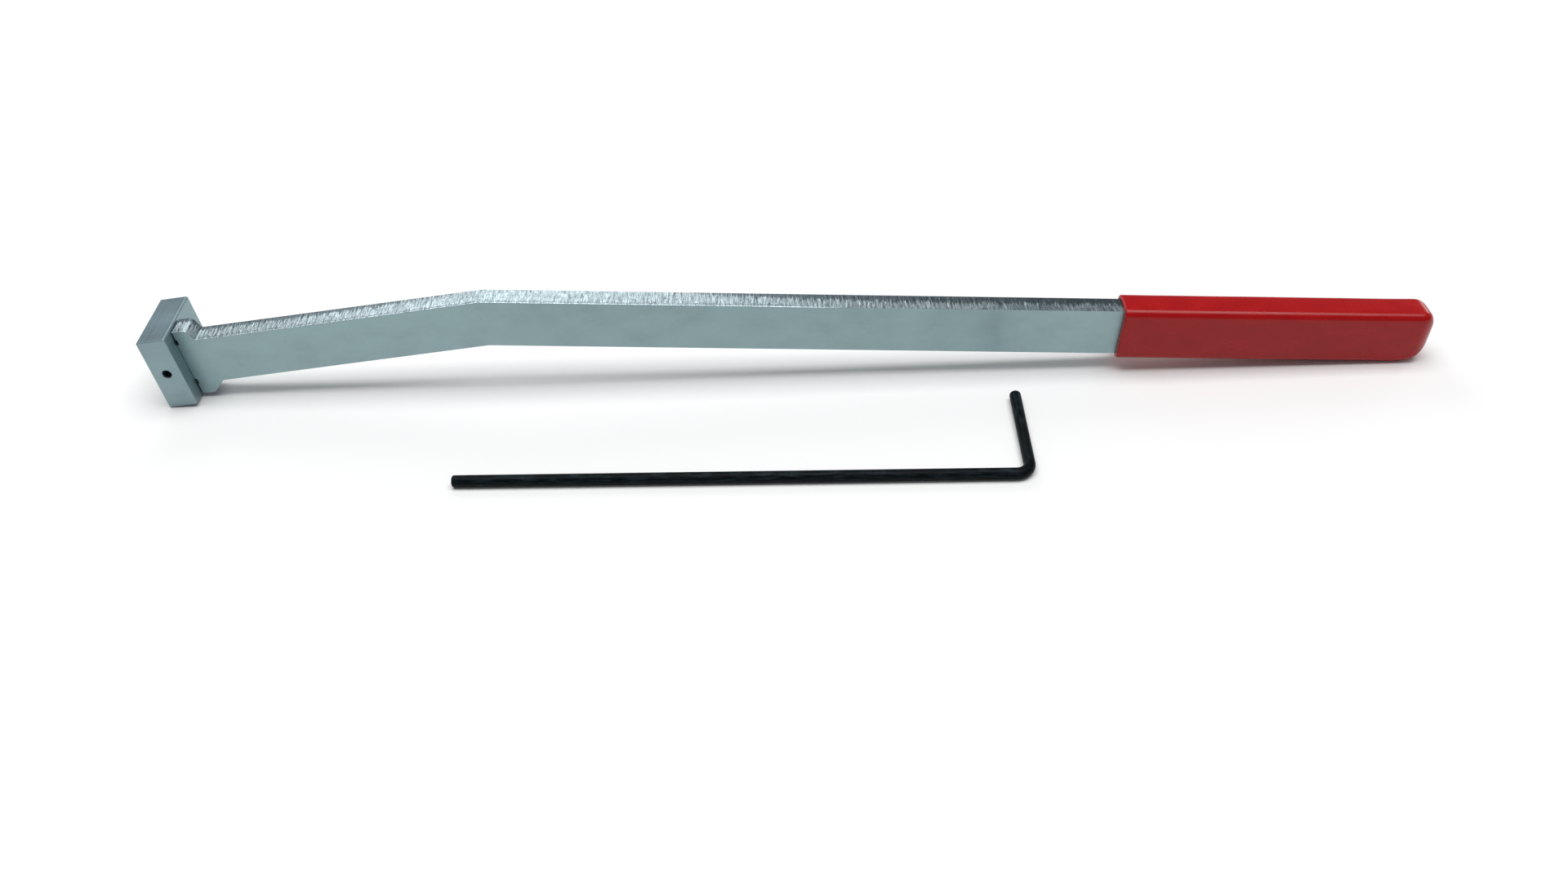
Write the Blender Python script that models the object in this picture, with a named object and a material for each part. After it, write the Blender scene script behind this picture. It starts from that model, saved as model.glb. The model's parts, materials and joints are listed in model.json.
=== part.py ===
"""Lever wrench: a cranked plate lever tenoned into a cross-pinned head block, with a dipped
vinyl grip, and the loose L-shaped locking pin that lies beside it.

Everything is in metres, +Z up. The lever stands on its narrow edge along +X, head at -X, and
touches the ground at the head block's lower corner and at the end of the grip. The origin is at
the centre of the whole set's footprint, on the ground.
"""

import math

import bmesh
import bpy
from mathutils import Euler, Matrix, Vector

# Lever plate, cut to its outline from flat bar
PLATE_THICKNESS = 0.010
BAR_HEIGHT = 0.0232
CRANK_ANGLE = math.radians(10.1)
CRANK_RADIUS = 0.003
HEAD_ARM = 0.1334
STEEL_ARM = 0.4150
STEEL_UPPER_RADIUS = 0.006
STEEL_LOWER_RADIUS = 0.011
PLATE_EDGE_BREAK = 0.0003

# Head block, and where the lever's lower edge line meets it
BLOCK_LENGTH = 0.0128
BLOCK_DEPTH = 0.033
BLOCK_HEIGHT = 0.036
BLOCK_BELOW_BAR = 0.00595
BLOCK_FRONT_STANDOFF = 0.0071
BLOCK_CHAMFER = 0.0008

# Flared lever end that bears on the block, and the tenon that enters it
FLARE_TOP_RISE = 0.00545
FLARE_TOP_LAND = 0.0052
FLARE_TOP_REACH = 0.0090
FLARE_TOP_RADIUS = 0.0030
FLARE_BOTTOM_DROP = 0.0058
FLARE_BOTTOM_LAND = 0.0063
FLARE_BOTTOM_REACH = 0.0121
FLARE_BOTTOM_RADIUS = 0.0015
INNER_RADIUS = 0.0006
TENON_HEIGHT = 0.019
RELIEF_HEIGHT = 0.0025
RELIEF_DEPTH = 0.0005

# Slotted spring pin that locks the tenon in the block
CROSS_HOLE_DIAMETER = 0.004
CROSS_HOLE_CHAMFER = 0.00015
SPRING_PIN_DIAMETER = 0.0034
SPRING_PIN_WALL = 0.0007
SPRING_PIN_LENGTH = 0.022
SPRING_PIN_SLOT = 0.0008

# Dipped vinyl grip, from its open mouth to the tip of its domed end
GRIP_WALL = 0.00125
GRIP_SIDE_WALL = 0.0029
GRIP_START = 0.2784
GRIP_TIP = 0.4201
GRIP_EDGE_RADIUS = 0.0033
GRIP_MOUTH_RADIUS = 0.0008
PLAN_DOME_LENGTH = 0.0085
PLAN_ROUNDNESS = 2.0
UPPER_DOME_LENGTH = 0.0082
LOWER_DOME_LENGTH = 0.0187
SIDE_ROUNDNESS = 2.5
DOME_STEPS = 14
CORNER_STEPS = 4

# Loose L-shaped locking pin, bent from round rod
ROD_DIAMETER = 0.005
ROD_LONG_ARM = 0.2386
ROD_SHORT_ARM = 0.0517
ROD_BEND_RADIUS = 0.006
ROD_END_CHAMFER = 0.0005
ROD_ELBOW_PLACE = (0.2290, -0.0709)
ROD_TURN = math.radians(-1.54)

FIT_GAP = 0.0003
JOINT_GAP = 0.00035
ARC_STEP = math.radians(12)
ROD_SIDES = 24
BORE_SIDES = 32


def crank_point(along, up):
    """A point of the head arm, measured back from the crank along its lower edge, in XZ."""
    x = -along * math.cos(CRANK_ANGLE) - up * math.sin(CRANK_ANGLE)
    z = -along * math.sin(CRANK_ANGLE) + up * math.cos(CRANK_ANGLE)
    return x, z


def corner_arc(before, corner, after, radius):
    """The points of an arc that rounds one corner of an outline."""
    corner = Vector(corner)
    to_before = (Vector(before) - corner).normalized()
    to_after = (Vector(after) - corner).normalized()
    half_angle = to_before.angle(to_after) / 2
    setback = radius / math.tan(half_angle)
    centre = corner + (to_before + to_after).normalized() * radius / math.sin(half_angle)
    start = corner + to_before * setback - centre
    sweep = math.pi - 2 * half_angle
    turn = 1 if start.x * to_before.y - start.y * to_before.x < 0 else -1
    steps = max(2, math.ceil(sweep / ARC_STEP))
    arc = []
    for step in range(steps + 1):
        angle = turn * sweep * step / steps
        arc.append((
            centre.x + start.x * math.cos(angle) - start.y * math.sin(angle),
            centre.y + start.x * math.sin(angle) + start.y * math.cos(angle),
        ))
    return arc


def rounded_outline(corners):
    """An outline from (x, z, radius) corners, with an arc at each corner that has a radius."""
    outline = []
    for index, (x, z, radius) in enumerate(corners):
        before = corners[index - 1][:2]
        after = corners[(index + 1) % len(corners)][:2]
        if radius:
            outline.extend(corner_arc(before, (x, z), after, radius))
        else:
            outline.append((x, z))
    return outline


def slab(name, outline, near, far):
    """A closed slab whose XZ outline, given counterclockwise, runs from Y = near to Y = far."""
    mesh_maker = bmesh.new()
    near_ring = [mesh_maker.verts.new((x, near, z)) for x, z in outline]
    far_ring = [mesh_maker.verts.new((x, far, z)) for x, z in outline]
    mesh_maker.faces.new(near_ring)
    mesh_maker.faces.new(far_ring[::-1])
    for index in range(len(outline)):
        following = (index + 1) % len(outline)
        mesh_maker.faces.new(
            (near_ring[following], near_ring[index], far_ring[index], far_ring[following])
        )
    return object_from(name, mesh_maker)


def turned_along_y(name, profile, place):
    """A turned piece about an axis along Y; the profile is (distance along the axis, radius)."""
    mesh_maker = bmesh.new()
    rings = []
    for along, radius in profile:
        ring = []
        for side in range(BORE_SIDES):
            angle = 2 * math.pi * side / BORE_SIDES
            ring.append(mesh_maker.verts.new((
                place[0] + radius * math.cos(angle),
                along,
                place[1] + radius * math.sin(angle),
            )))
        rings.append(ring)
    bridge_rings(mesh_maker, rings)
    return object_from(name, mesh_maker)


def bridge_rings(mesh_maker, rings):
    """Joins successive rings with quads and caps both ends."""
    count = len(rings[0])
    for lower, upper in zip(rings, rings[1:]):
        for side in range(count):
            following = (side + 1) % count
            mesh_maker.faces.new((lower[side], lower[following], upper[following], upper[side]))
    mesh_maker.faces.new(rings[0][::-1])
    mesh_maker.faces.new(rings[-1])


def object_from(name, mesh_maker):
    """Turns the finished bmesh into a named object with its faces pointing out."""
    bmesh.ops.recalc_face_normals(mesh_maker, faces=mesh_maker.faces)
    mesh = bpy.data.meshes.new(name)
    mesh_maker.to_mesh(mesh)
    mesh_maker.free()
    made = bpy.data.objects.new(name, mesh)
    bpy.context.scene.collection.objects.link(made)
    return made


def break_edges(piece, width, segments=1, limit=math.radians(40)):
    """Chamfers or rounds a piece's sharp edges."""
    bevel = piece.modifiers.new("edge_break", "BEVEL")
    bevel.width = width
    bevel.segments = segments
    bevel.limit_method = "ANGLE"
    bevel.angle_limit = limit


def cut(piece, cutter):
    """Takes the cutter's shape out of a piece."""
    boolean = piece.modifiers.new("cut_" + cutter.name, "BOOLEAN")
    boolean.operation = "DIFFERENCE"
    boolean.solver = "EXACT"
    boolean.object = cutter
    cutter.parent = piece
    cutter.hide_render = True
    cutter.display_type = "WIRE"


def finish(piece, name, colour, roughness, metallic):
    """Gives a piece its own Principled material."""
    material = bpy.data.materials.new(name)
    material.use_nodes = True
    shader = material.node_tree.nodes["Principled BSDF"]
    shader.inputs["Base Color"].default_value = (*colour, 1.0)
    shader.inputs["Roughness"].default_value = roughness
    shader.inputs["Metallic"].default_value = metallic
    piece.data.materials.append(material)


def cross_hole_centre():
    """Where the cross pin's axis meets the XZ plane, at the middle of the block's front face."""
    middle = BLOCK_HEIGHT / 2 - BLOCK_BELOW_BAR
    return crank_point(HEAD_ARM + BLOCK_LENGTH / 2, middle)


def relief_notch(shoulder, tenon_edge, away):
    """The corners of the shallow relief where a shoulder meets the tenon, from the tenon out."""
    floor = shoulder - RELIEF_DEPTH
    lip = tenon_edge + away * RELIEF_HEIGHT
    return [
        (shoulder + RELIEF_DEPTH / 2, tenon_edge, 0),
        (floor, tenon_edge, 0.45 * RELIEF_DEPTH),
        (floor, lip, 0.45 * RELIEF_DEPTH),
        (shoulder, lip, 0),
    ]


def lever_outline():
    """The plate's outline, counterclockwise from the crank's lower corner."""
    shoulder = HEAD_ARM - JOINT_GAP
    middle = BLOCK_HEIGHT / 2 - BLOCK_BELOW_BAR
    tenon_top = middle + TENON_HEIGHT / 2
    tenon_bottom = middle - TENON_HEIGHT / 2
    tenon_end = HEAD_ARM + BLOCK_LENGTH - BLOCK_CHAMFER
    flare_top = BAR_HEIGHT + FLARE_TOP_RISE
    straight = [
        (0.0, 0.0, CRANK_RADIUS),
        (STEEL_ARM, 0.0, STEEL_LOWER_RADIUS),
        (STEEL_ARM, BAR_HEIGHT, STEEL_UPPER_RADIUS),
        (-BAR_HEIGHT * math.tan(CRANK_ANGLE / 2), BAR_HEIGHT, CRANK_RADIUS),
    ]
    head = [
        (HEAD_ARM - FLARE_TOP_REACH, BAR_HEIGHT, INNER_RADIUS),
        (HEAD_ARM - FLARE_TOP_LAND - FLARE_TOP_RADIUS / 2, flare_top, FLARE_TOP_RADIUS),
        (shoulder, flare_top, 0),
        *relief_notch(shoulder, tenon_top, 1)[::-1],
        (tenon_end, tenon_top, 0),
        (tenon_end, tenon_bottom, 0),
        *relief_notch(shoulder, tenon_bottom, -1),
        (shoulder, -FLARE_BOTTOM_DROP, 0),
        (HEAD_ARM - FLARE_BOTTOM_LAND, -FLARE_BOTTOM_DROP, FLARE_BOTTOM_RADIUS),
        (HEAD_ARM - FLARE_BOTTOM_REACH, 0.0, FLARE_BOTTOM_RADIUS),
    ]
    corners = straight + [(*crank_point(along, up), radius) for along, up, radius in head]
    return rounded_outline(corners)


def make_lever_bar():
    """The cranked plate with its flared, tenoned end."""
    bar = slab("lever_bar", lever_outline(), 0.0, PLATE_THICKNESS)
    break_edges(bar, PLATE_EDGE_BREAK)
    bore = CROSS_HOLE_DIAMETER / 2
    profile = [(-FIT_GAP, bore), (PLATE_THICKNESS + FIT_GAP, bore)]
    cut(bar, turned_along_y("tenon_hole_cutter", profile, cross_hole_centre()))
    finish(bar, "satin_steel_plate", (0.23, 0.29, 0.30), 0.42, 1.0)
    return bar


def block_outline(start, end, bottom, top):
    """A rectangle in the head arm's own directions, counterclockwise in XZ."""
    return [
        crank_point(start, bottom),
        crank_point(start, top),
        crank_point(end, top),
        crank_point(end, bottom),
    ]


def make_head_block():
    """The rectangular head block with its mortise and cross hole."""
    front = -BLOCK_FRONT_STANDOFF
    back = front + BLOCK_DEPTH
    bottom = -BLOCK_BELOW_BAR
    end = HEAD_ARM + BLOCK_LENGTH
    outline = block_outline(HEAD_ARM, end, bottom, bottom + BLOCK_HEIGHT)
    block = slab("head_block", outline, front, back)
    break_edges(block, BLOCK_CHAMFER)
    middle = bottom + BLOCK_HEIGHT / 2
    half_mortise = TENON_HEIGHT / 2 + FIT_GAP
    mortise = block_outline(
        HEAD_ARM - BLOCK_LENGTH, end + BLOCK_LENGTH, middle - half_mortise, middle + half_mortise
    )
    cut(block, slab("mortise_cutter", mortise, -FIT_GAP, PLATE_THICKNESS + FIT_GAP))
    bore = CROSS_HOLE_DIAMETER / 2
    wide = bore + 2 * CROSS_HOLE_CHAMFER
    clear = CROSS_HOLE_CHAMFER
    profile = [
        (front - clear, wide),
        (front + clear, bore),
        (back - clear, bore),
        (back + clear, wide),
    ]
    cut(block, turned_along_y("cross_hole_cutter", profile, cross_hole_centre()))
    finish(block, "milled_steel_block", (0.24, 0.30, 0.31), 0.40, 1.0)
    return block


def make_cross_pin():
    """The slotted spring pin, set below both faces of the block."""
    centre_x, centre_z = cross_hole_centre()
    outer = SPRING_PIN_DIAMETER / 2
    inner = outer - SPRING_PIN_WALL
    outline = []
    for radius, direction in ((outer, 1), (inner, -1)):
        half_slot = math.asin(SPRING_PIN_SLOT / 2 / radius)
        sweep = 2 * math.pi - 2 * half_slot
        for step in range(BORE_SIDES + 1):
            share = step / BORE_SIDES if direction > 0 else 1 - step / BORE_SIDES
            angle = half_slot + sweep * share
            outline.append((
                centre_x + radius * math.cos(angle),
                centre_z + radius * math.sin(angle),
            ))
    middle = BLOCK_DEPTH / 2 - BLOCK_FRONT_STANDOFF
    half_length = SPRING_PIN_LENGTH / 2
    pin = slab("cross_pin", outline, middle - half_length, middle + half_length)
    finish(pin, "dark_spring_steel", (0.05, 0.05, 0.05), 0.45, 1.0)
    return pin


def dome_share(x, length, roundness):
    """How much of its full size the grip keeps at x, with a domed end of this length."""
    share = max(0.0, 1 - (GRIP_TIP - x) / length)
    return (1 - share ** roundness) ** (1 / roundness)


def grip_stations():
    """The grip's sections from mouth to tip: (x, half width, half height up, half height down)."""
    half_width = PLATE_THICKNESS / 2 + FIT_GAP + GRIP_SIDE_WALL
    half_height = BAR_HEIGHT / 2 + FIT_GAP + GRIP_WALL
    stations = []
    for step in range(3):
        angle = math.pi / 4 * step
        x = GRIP_START + GRIP_MOUTH_RADIUS * (1 - math.cos(angle))
        inset = GRIP_MOUTH_RADIUS * (1 - math.sin(angle))
        stations.append((x, half_width - inset, half_height - inset, half_height - inset))
    for step in range(DOME_STEPS):
        share = math.sin(math.pi / 2 * step / DOME_STEPS)
        x = GRIP_TIP - LOWER_DOME_LENGTH * (1 - share)
        stations.append((
            x,
            half_width * dome_share(x, PLAN_DOME_LENGTH, PLAN_ROUNDNESS),
            half_height * dome_share(x, UPPER_DOME_LENGTH, SIDE_ROUNDNESS),
            half_height * dome_share(x, LOWER_DOME_LENGTH, SIDE_ROUNDNESS),
        ))
    return stations


def section_ring(half_width, upper, lower):
    """The (y, z) points of a rectangle with rounded corners, about the bar's middle."""
    radius = min(GRIP_EDGE_RADIUS, 0.9 * half_width)
    ring = []
    for quarter, (side, reach) in enumerate(((1, upper), (-1, upper), (-1, -lower), (1, -lower))):
        centre_y = PLATE_THICKNESS / 2 + side * (half_width - radius)
        centre_z = BAR_HEIGHT / 2 + reach - math.copysign(radius, reach)
        for step in range(CORNER_STEPS + 1):
            angle = math.pi / 2 * (quarter + step / CORNER_STEPS)
            ring.append((centre_y + radius * math.cos(angle), centre_z + radius * math.sin(angle)))
    return ring


def make_handle_grip():
    """The dipped sleeve: one skin around the bar's end, open towards the head."""
    mesh_maker = bmesh.new()
    rings = []
    for x, half_width, upper, lower in grip_stations():
        section = section_ring(half_width, upper, lower)
        rings.append([mesh_maker.verts.new((x, y, z)) for y, z in section])
    bridge_rings(mesh_maker, rings)
    grip = object_from("handle_grip", mesh_maker)
    room_start = GRIP_START - LOWER_DOME_LENGTH
    room_end = STEEL_ARM + FIT_GAP
    room = rounded_outline([
        (room_start, -FIT_GAP, 0),
        (room_end, -FIT_GAP, STEEL_LOWER_RADIUS + FIT_GAP),
        (room_end, BAR_HEIGHT + FIT_GAP, STEEL_UPPER_RADIUS + FIT_GAP),
        (room_start, BAR_HEIGHT + FIT_GAP, 0),
    ])
    cut(grip, slab("grip_room_cutter", room, -FIT_GAP, PLATE_THICKNESS + FIT_GAP))
    finish(grip, "red_dipped_vinyl", (0.42, 0.008, 0.012), 0.3, 0.0)
    return grip


def rod_stations():
    """Stations along the rod's centreline: (x, y, heading, radius), elbow point at the origin."""
    radius = ROD_DIAMETER / 2
    small = radius - ROD_END_CHAMFER
    stations = [
        (-ROD_LONG_ARM, 0.0, 0.0, small),
        (-ROD_LONG_ARM + ROD_END_CHAMFER, 0.0, 0.0, radius),
    ]
    bend_steps = 9
    for step in range(bend_steps + 1):
        heading = math.pi / 2 * step / bend_steps
        x = -ROD_BEND_RADIUS + ROD_BEND_RADIUS * math.sin(heading)
        y = ROD_BEND_RADIUS - ROD_BEND_RADIUS * math.cos(heading)
        stations.append((x, y, heading, radius))
    stations.append((0.0, ROD_SHORT_ARM - ROD_END_CHAMFER, math.pi / 2, radius))
    stations.append((0.0, ROD_SHORT_ARM, math.pi / 2, small))
    return stations


def make_locking_pin():
    """The loose L-shaped rod, lying flat on the ground."""
    mesh_maker = bmesh.new()
    rings = []
    for x, y, heading, radius in rod_stations():
        across = Vector((-math.sin(heading), math.cos(heading), 0.0))
        ring = []
        for side in range(ROD_SIDES):
            angle = 2 * math.pi * side / ROD_SIDES
            offset = across * math.cos(angle) + Vector((0.0, 0.0, math.sin(angle)))
            ring.append(mesh_maker.verts.new(Vector((x, y, 0.0)) + offset * radius))
        rings.append(ring)
    bridge_rings(mesh_maker, rings)
    rod = object_from("locking_pin", mesh_maker)
    rod.data.shade_smooth()
    rod.data.set_sharp_from_angle(angle=math.radians(30))
    finish(rod, "black_oxide_rod", (0.012, 0.018, 0.020), 0.35, 0.6)
    return rod


def resting_tilt():
    """The lever's pitch when its block corner and the underside of its grip touch the ground."""
    corner_x, corner_z = crank_point(HEAD_ARM + BLOCK_LENGTH, -BLOCK_BELOW_BAR)
    angles = []
    for x, _half_width, _upper, lower in grip_stations():
        underside = BAR_HEIGHT / 2 - lower
        angles.append(math.atan2(underside - corner_z, x - corner_x))
    return min(angles)


def world_bounds(pieces):
    """The lowest and highest corner of the finished pieces."""
    bpy.context.view_layer.update()
    graph = bpy.context.evaluated_depsgraph_get()
    points = []
    for piece in pieces:
        evaluated = piece.evaluated_get(graph)
        mesh = evaluated.to_mesh()
        points.extend(evaluated.matrix_world @ vertex.co for vertex in mesh.vertices)
        evaluated.to_mesh_clear()
    low = Vector([min(point[axis] for point in points) for axis in range(3)])
    high = Vector([max(point[axis] for point in points) for axis in range(3)])
    return low, high


def place_on_ground(lever_pieces, rod):
    """Stands the lever on its edge and the rod beside it, footprint centred on the origin."""
    frame = bpy.data.objects.new("lever_frame", None)
    bpy.context.scene.collection.objects.link(frame)
    for piece in lever_pieces:
        piece.parent = frame
    frame.rotation_euler = Euler((0.0, resting_tilt(), 0.0))
    low, _high = world_bounds(lever_pieces)
    frame.location.z = -low.z
    rod.rotation_euler = Euler((0.0, 0.0, ROD_TURN))
    rod.location = (*ROD_ELBOW_PLACE, ROD_DIAMETER / 2)
    low, high = world_bounds([*lever_pieces, rod])
    middle = (low + high) / 2
    shift = Matrix.Translation((-middle.x, -middle.y, 0.0))
    for placed in (frame, rod):
        placed.location = shift @ placed.location


def main():
    for old in list(bpy.data.objects):
        bpy.data.objects.remove(old, do_unlink=True)
    lever_pieces = [make_lever_bar(), make_head_block(), make_cross_pin(), make_handle_grip()]
    place_on_ground(lever_pieces, make_locking_pin())


main()
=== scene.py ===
"""The look of the lever wrench and its loose locking pin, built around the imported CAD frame.

Metres, +Z up, the same frame as the CAD. The lever's pieces follow outlines and axes that are
read from the CAD solids, so they stay where the CAD says.
"""

import json
import math

import bmesh
import bpy
from mathutils import Matrix, Vector, noise
from mathutils.geometry import tessellate_polygon


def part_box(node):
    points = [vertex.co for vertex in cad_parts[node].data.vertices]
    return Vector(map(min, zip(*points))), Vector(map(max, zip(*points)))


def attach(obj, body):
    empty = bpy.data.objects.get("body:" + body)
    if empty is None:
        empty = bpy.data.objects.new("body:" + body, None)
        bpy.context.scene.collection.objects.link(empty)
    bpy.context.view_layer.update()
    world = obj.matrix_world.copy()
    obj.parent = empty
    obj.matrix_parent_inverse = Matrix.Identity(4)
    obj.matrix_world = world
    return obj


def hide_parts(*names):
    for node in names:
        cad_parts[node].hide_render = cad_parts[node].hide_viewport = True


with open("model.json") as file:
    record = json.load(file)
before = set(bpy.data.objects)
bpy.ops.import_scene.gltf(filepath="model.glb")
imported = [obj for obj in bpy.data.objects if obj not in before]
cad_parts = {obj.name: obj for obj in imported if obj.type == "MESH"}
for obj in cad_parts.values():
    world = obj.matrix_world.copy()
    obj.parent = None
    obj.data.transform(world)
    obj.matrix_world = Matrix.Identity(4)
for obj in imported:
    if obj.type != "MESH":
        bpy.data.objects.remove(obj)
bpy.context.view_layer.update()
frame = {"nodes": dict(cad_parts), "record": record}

MM = 0.001
SAME_PLACE = 1e-6
PLACE_DIGITS = 6
FLAT_ANGLE = 1

# ---------------------------------------------------------------- sizes of the fine surface, mm
# Lever plate: the rows of its cut edge are (distance from a face, height, share of the drag lines).
CUT_EDGE_STEP = 0.36
HIDDEN_EDGE_STEP = 2.0
HIDDEN_PAST_MOUTH = 4.0
SHORT_OUTLINE_SIDE = 1.5
SHARPEST_CORNER = 0.5
FACE_INSET = 0.30
NEAR_EDGE_ROWS = (
    (0.0, -FACE_INSET, 0.0), (0.12, -0.16, 0.05), (0.30, -0.10, 0.1), (0.60, -0.08, 0.1),
    (0.85, -0.12, 0.1), (1.15, -0.24, 0.15), (1.40, -0.20, 0.4),
)
CUT_BODY_FROM_NEAR = 1.7
CUT_BODY_FROM_FAR = 0.7
CUT_BODY_ROWS = 13
CUT_BODY_HEIGHT = -0.13
CUT_BODY_CROWN = 0.05
CUT_BODY_FALL = 0.10
FAR_EDGE_ROWS = ((0.35, -0.20, 0.5), (0.12, -0.26, 0.2), (0.0, -FACE_INSET - 0.05, 0.0))
CUT_EDGE_PEAK = -0.08
PLATE_SHARP_ANGLE = 50

# The bright line along the near edge fades into the cut over this stretch, along X.
NEAR_LINE_WIDTH = 1.5
NEAR_LINE_FADE_START = -20.0
NEAR_LINE_FADE_LENGTH = 50.0
NEAR_LINE_FADED_HEIGHT = -0.15
NEAR_LINE_FADED_SHARE = 0.7

# Drag lines, as (pitch along the edge, depth), how long they run across, how far they wander and
# where they are deeper. Sizes with two numbers are along the edge and across it.
DRAG_LINES = ((2.8, 0.05), (1.3, 0.13), (0.75, 0.09))
DRAG_LINE_LENGTH = 9.0
DRAG_LINE_REST = -0.03
DRAG_WANDER = 0.35
DRAG_WANDER_SIZE = (4, 3)
DRAG_PATCH_SIZE = (9, 4)
DRAG_PATCH_MEAN = 0.75
DRAG_PATCH_SWING = 0.5

# Where the cut edge's painted shade begins, from the near face, and how that drifts along X.
PAINTED_SHADE_START_BELOW = 6.0
PAINTED_SHADE_START_AT_HEAD = 6.6
PAINTED_SHADE_DRIFT = 2.0
PAINTED_SHADE_DRIFT_FROM = -240.0
PAINTED_SHADE_DRIFT_LENGTH = 330.0
LATE_PAINTED_SHADE = 8.0
LATE_PAINTED_SHADE_AT = -95.0
LATE_PAINTED_SHADE_REACH = 60.0

BLOCK_CORNER_RADIUS = 0.9
BLOCK_CORNER_STEPS = 5
BLOCK_EDGE_RADIUS = 0.45
BLOCK_EDGE_STEPS = 4
BLOCK_SHARP_ANGLE = 32
MILL_LINE_STEPS = 90
MILL_LINE_PITCH = 0.8
MILL_LINE_DEPTH = 0.06
MILL_LINE_FADE = 0.8
# Cutter lines, as (lines to a pitch, share of the depth).
BROAD_MILL_LINES = (1.3, 0.5)
FINE_MILL_LINES = (3.1, 0.35)
MILLED_FACE_SHARE = 0.8
MORTISE_CLEARANCE = 0.3
TENON_PAST_SHOULDER = 2.0
CUTTER_OVERRUN = 5.0
CROSS_HOLE_RADIUS = 2.0
CROSS_HOLE_RIM = 0.25
CROSS_HOLE_SIDES = 64

GRIP_EDGE_RADIUS = 3.3
GRIP_LIP_RADIUS = 1.0
GRIP_BORE_CLEARANCE = 0.05
GRIP_BORE_CORNER = 0.25
GRIP_BORE_PAST_BAR = 0.2
# The bore's closed end: distance before the end, share of the bar's half height up and down.
GRIP_BORE_ROWS = ((0.0, 0.5, 0.2), (5.0, 1.0, 0.8), (12.0, 1.0, 1.0))
GRIP_BORE_FLARE = 0.3
GRIP_SIDES_PER_CORNER = 9
GRIP_FLAT_STEPS = 6
GRIP_LIP_STEPS = 8
GRIP_BODY_STEPS = 60
GRIP_DOME_STEPS = 44
GRIP_PLAN_DOME = 8.5
GRIP_UPPER_DOME = 8.2
GRIP_LOWER_DOME = 18.7
GRIP_PLAN_ROUNDNESS = 2.0
GRIP_SIDE_ROUNDNESS = 2.5
GRIP_CROWN = 0.35
GRIP_ROUNDEST = 0.92
GRIP_WAVE_HEIGHT = 0.05
GRIP_WAVE_SIZE = (16.0, 7.0, 9.0)
GRIP_WAVE_ENDS = 12

ROD_SIDES = 48
ROD_BEND_RADIUS = 6.0
ROD_BEND_STEPS = 28
ROD_END_RADIUS = 0.9
ROD_END_STEPS = 6
ROD_LONG_STEPS = 60
ROD_SHORT_STEPS = 16
ROD_SHARP_ANGLE = 60

# ---------------------------------------------------------------- studio, in metres and watts
TABLE_REACH = 9.0
TABLE_BELOW = 0.0001
ROOM_COLOUR = (0.97, 0.99, 1.0, 1.0)
ROOM_STRENGTH = 0.22
# Each softbox: name, place, where it faces, width, height, power.
SOFTBOXES = (
    ("overhead_softbox", (0.0, 0.12, 4.2), (0.0, 0.0, 0.0), 5.4, 2.7, 205.0),
    ("back_softbox", (-0.36, 1.02, 0.75), (-0.08, 0.03, 0.03), 0.9, 0.5, 3.4),
    ("rim_softbox", (1.19, 0.93, 0.29), (0.28, 0.03, 0.03), 0.34, 0.16, 1.2),
)
CAMERA_PLACE = Vector((-0.013501, -0.461198, 0.383681))
CAMERA_YAW = math.radians(0.816)
CAMERA_PITCH = math.radians(38.740)
CAMERA_ROLL = math.radians(-1.285)
CAMERA_SENSOR = 36.0
CAMERA_FOCAL = 31.454
CAMERA_SHIFT = -0.0339

# A Mix node's colour sockets go by number, because each data type has its own A, B and Result.
MIX_A = 6
MIX_B = 7
MIX_RESULT = 2
# A noise texture's values mostly lie between these two.
NOISE_LOW = 0.3
NOISE_HIGH = 0.7


# ---------------------------------------------------------------- small tools
def object_from(name, mesh_maker):
    """Turns a finished bmesh into a named object."""
    mesh = bpy.data.meshes.new(name)
    mesh_maker.to_mesh(mesh)
    mesh_maker.free()
    made = bpy.data.objects.new(name, mesh)
    bpy.context.scene.collection.objects.link(made)
    return made


def bridge(mesh_maker, rings, material=0):
    """Joins successive closed rings of vertices with quads."""
    count = len(rings[0])
    for ring, following_ring in zip(rings, rings[1:]):
        for index in range(count):
            after = (index + 1) % count
            face = mesh_maker.faces.new(
                (ring[index], ring[after], following_ring[after], following_ring[index])
            )
            face.material_index = material
            face.smooth = True


def close_ends(mesh_maker, rings):
    """Closes a run of rings with a face at each end, and turns all the faces outward."""
    mesh_maker.faces.new(rings[0][::-1])
    mesh_maker.faces.new(rings[-1])
    bmesh.ops.recalc_face_normals(mesh_maker, faces=mesh_maker.faces)


def cad_points(node):
    """The corner points of a CAD node."""
    return [vertex.co for vertex in frame["nodes"][node].data.vertices]


def longest_edge(node):
    """The direction of a CAD node's longest real edge, where two faces meet at an angle."""
    mesh = frame["nodes"][node].data
    sides = {}
    for polygon in mesh.polygons:
        corners = [mesh.vertices[index].co for index in polygon.vertices]
        for start, end in zip(corners, corners[1:] + corners[:1]):
            key = frozenset((start.to_tuple(PLACE_DIGITS), end.to_tuple(PLACE_DIGITS)))
            sides.setdefault(key, []).append((end - start, polygon.normal))
    flat = math.cos(math.radians(FLAT_ANGLE))
    sharp = [
        pair[0][0] for pair in sides.values()
        if len(pair) == 2 and pair[0][1].dot(pair[1][1]) < flat
    ]
    longest = max(sharp, key=lambda edge: edge.length).normalized()
    return longest if longest.x > 0 else -longest


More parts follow.
